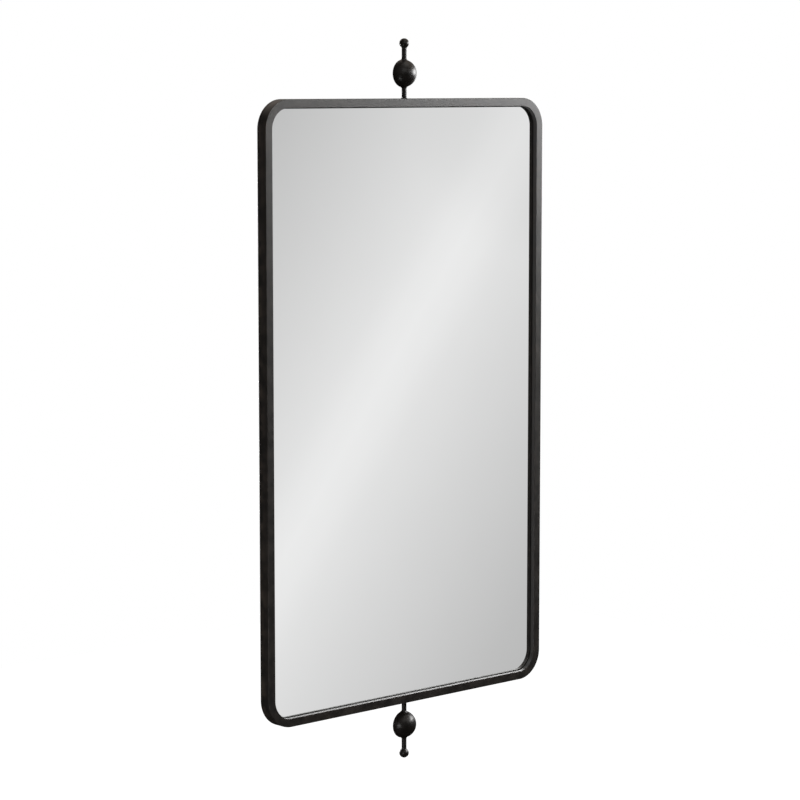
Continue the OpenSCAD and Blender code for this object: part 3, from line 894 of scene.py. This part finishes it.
def lightInGlass(tree, coords):
    # the streak runs across what the glass shows at the photograph's angle
    turn, rise = math.radians(view["azimuth"]), math.radians(view["elevation"])
    right = Vector((math.cos(turn), math.sin(turn), 0))
    up = Vector((-math.sin(turn) * math.sin(rise), math.cos(turn) * math.sin(rise), math.cos(rise)))
    across = right * math.cos(studio["streakTilt"]) - up * math.sin(studio["streakTilt"])
    across.y = -across.y
    made = addNode(tree, "ShaderNodeBackground")
    place = mathOf(tree, "SUBTRACT", facing(tree, coords, across), studio["streakPlace"])
    fold = mathOf(tree, "PINGPONG", place, studio["streakGap"])
    share = mathOf(tree, "DIVIDE", fold, studio["streakGap"])
    colourRamp(tree, share, [(p, (v, v, v)) for p, v in studio["streakStops"]], made.inputs["Color"])

    # dimmer behind the mirror than in front of it
    split = addNode(tree, "ShaderNodeSeparateXYZ")
    tree.links.new(coords.outputs["Generated"], split.inputs["Vector"])
    shade = easeTo(tree, split.outputs["Y"], studio["backFrom"], studio["backFull"], 1.0, studio["backShade"])
    # and the streak fades a little at its upper end
    dusk = facing(tree, coords, Vector(studio["duskTowards"]).normalized())
    fade = easeTo(tree, dusk, math.cos(studio["duskReach"]), 1.0, 1.0, studio["duskShade"])
    # a bright place above the view, which the glass throws onto the lower ledge
    above = facing(tree, coords, Vector(studio["glintTowards"]).normalized())
    glint = easeTo(tree, above, studio["glintFrom"], studio["glintFull"], 0.0, studio["glintStrength"])
    level = mathOf(tree, "ADD", mathOf(tree, "MULTIPLY", shade, fade), glint)
    tree.links.new(level, made.inputs["Strength"])
    return made.outputs["Background"]


def lightOnCoat(tree, coords):
    # the satin coat sees a dimmer room with soft glows in it
    made = addNode(tree, "ShaderNodeBackground", {"Strength": 1.0})
    total = None
    for towards, start, full, colour, strength in glows:
        glow = easeTo(tree, facing(tree, coords, Vector(towards).normalized()), start, full, 0.0, strength)
        tinted = addNode(tree, "ShaderNodeVectorMath", {0: colour, 2: studio["dim"]},
                         operation="MULTIPLY_ADD")
        tree.links.new(glow, tinted.inputs[1])
        if total is not None:
            tree.links.new(total, tinted.inputs[2])
        total = tinted.outputs["Vector"]
    tree.links.new(total, made.inputs["Color"])
    return made.outputs["Background"]


def buildWorld():
    world = bpy.data.worlds.new("studio")
    bpy.context.scene.world = world
    world.use_nodes = True
    tree = world.node_tree
    plain = tree.nodes["Background"]
    plain.inputs["Color"].default_value = (1, 1, 1, 1)
    plain.inputs["Strength"].default_value = studio["level"]
    white = addNode(tree, "ShaderNodeBackground", {"Color": (1, 1, 1, 1), "Strength": 1.0})
    coords = addNode(tree, "ShaderNodeTexCoord")
    path = addNode(tree, "ShaderNodeLightPath")
    clear = mathOf(tree, "MAXIMUM", path.outputs["Is Singular Ray"], path.outputs["Is Transmission Ray"])
    coat = lightOnCoat(tree, coords)
    light = mixLight(tree, path.outputs["Is Glossy Ray"], plain.outputs["Background"], coat)
    light = mixLight(tree, clear, light, lightInGlass(tree, coords))
    light = mixLight(tree, path.outputs["Is Camera Ray"], light, white.outputs["Background"])
    tree.links.new(light, tree.nodes["World Output"].inputs["Surface"])


def buildFloor():
    bm = bmesh.new()
    bmesh.ops.create_grid(bm, x_segments=1, y_segments=1, size=studio["floorSize"] / 2)
    bmesh.ops.translate(bm, verts=bm.verts, vec=(0, 0, studio["floor"]))
    mesh = bpy.data.meshes.new("floor")
    bm.to_mesh(mesh)
    bm.free()
    floor = bpy.data.objects.new("floor", mesh)
    bpy.context.scene.collection.objects.link(floor)
    material, tree, shader = startMaterial("pale floor")
    tree.nodes.remove(shader)
    grey = studio["floorGrey"]
    diffuse = addNode(tree, "ShaderNodeBsdfDiffuse", {"Color": (grey, grey, grey, 1)})
    glow = addNode(tree, "ShaderNodeEmission", {"Color": (1, 1, 1, 1)})
    path = addNode(tree, "ShaderNodeLightPath")
    strength = mathOf(tree, "MULTIPLY", path.outputs["Is Camera Ray"], studio["floorGlow"])
    tree.links.new(strength, glow.inputs["Strength"])
    both = addNode(tree, "ShaderNodeAddShader")
    tree.links.new(diffuse.outputs["BSDF"], both.inputs[0])
    tree.links.new(glow.outputs["Emission"], both.inputs[1])
    tree.links.new(both.outputs["Shader"], tree.nodes["Material Output"].inputs["Surface"])
    mesh.materials.append(material)
    floor.visible_glossy = False      # glass and coat show the studio's light instead


def hangSoftboxes():
    for name, centre, aim, width, height, power in softboxes:
        data = bpy.data.lights.new(name, "AREA")
        data.shape = "RECTANGLE"
        data.size = width
        data.size_y = height
        data.energy = power
        data.cycles.use_multiple_importance_sampling = name != "back"      # less grain on the rods
        lamp = bpy.data.objects.new(name, data)
        bpy.context.scene.collection.objects.link(lamp)
        lamp.location = centre
        lamp.visible_camera = False
        lamp.rotation_mode = "QUATERNION"
        lamp.rotation_quaternion = (Vector(aim) - Vector(centre)).to_track_quat("-Z", "Y")


bpy.context.scene.view_settings.view_transform = "Standard"
buildWorld()
buildFloor()
hangSoftboxes()
print("studio:", len(softboxes), "softboxes")
